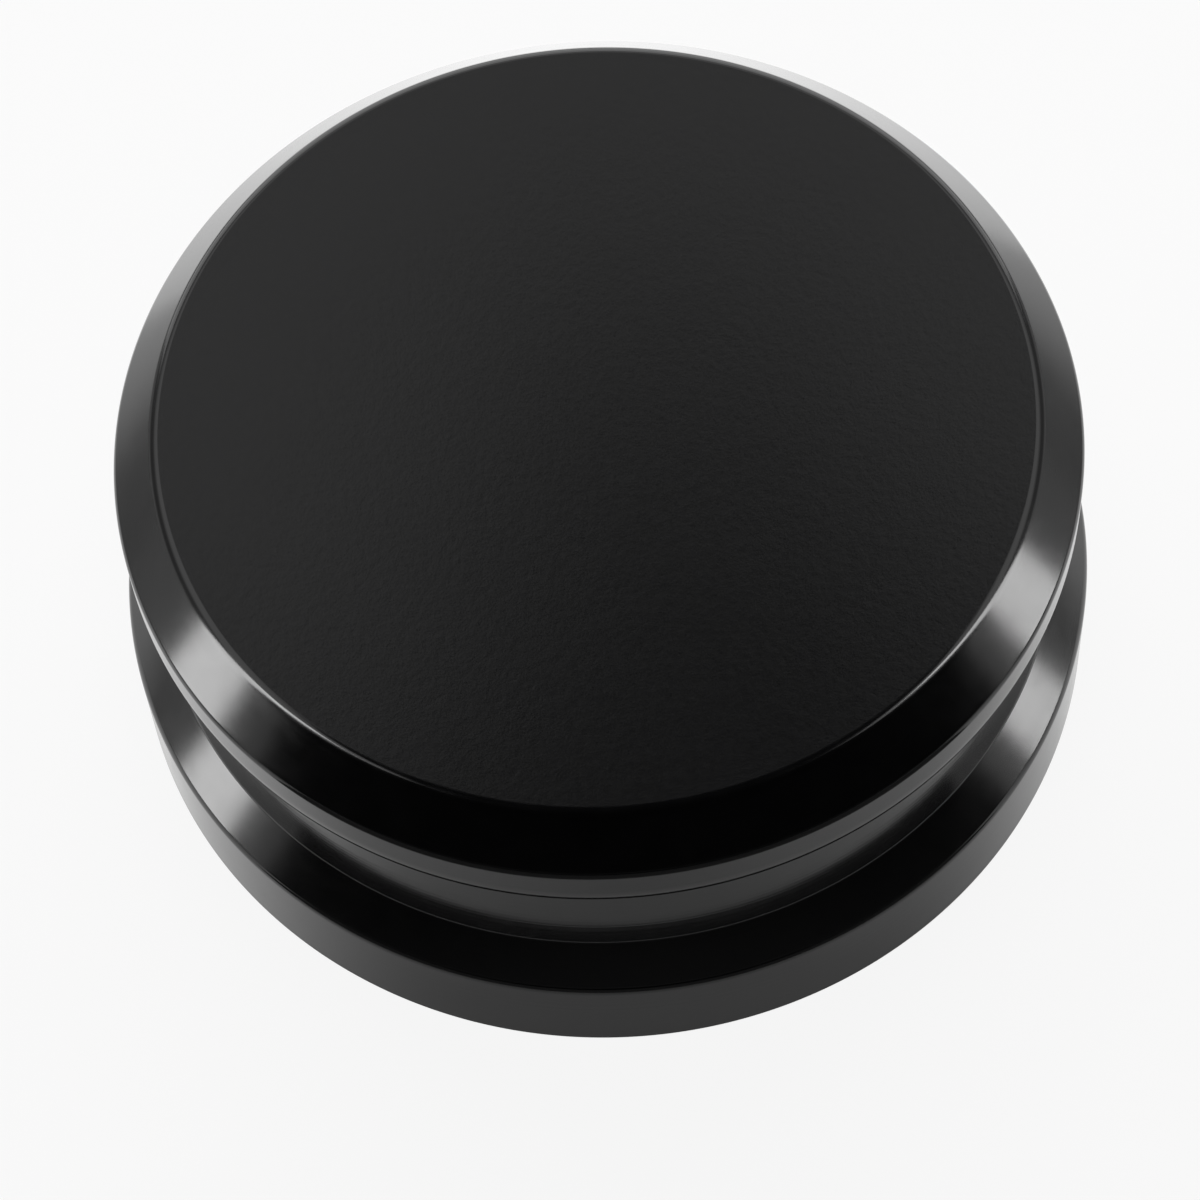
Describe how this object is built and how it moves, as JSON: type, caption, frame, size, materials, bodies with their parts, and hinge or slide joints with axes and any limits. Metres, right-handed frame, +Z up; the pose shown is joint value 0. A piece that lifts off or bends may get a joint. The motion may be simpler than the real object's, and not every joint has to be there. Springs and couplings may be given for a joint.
{
  "type": "record weight clamp",
  "caption": "Round turned metal record weight with a flat top, bevelled edges, a finger groove round the waist and a blind spindle bore beneath; steadies a record on its platter.",
  "frame": {"origin": "middle of the underside, on the turning axis, at the mouth of the spindle bore", "axes": "+Z up along the turning axis towards the flat top face; the weight is the same all round, so +X and +Y are any two level directions"},
  "size_m": [0.076, 0.076, 0.0302],
  "materials": {
    "black_metal": "black anodised; satin top face and walls, polished bevels"
  },
  "bodies": {
    "root": {"weight_body": "black_metal"}
  },
  "joints": []
}
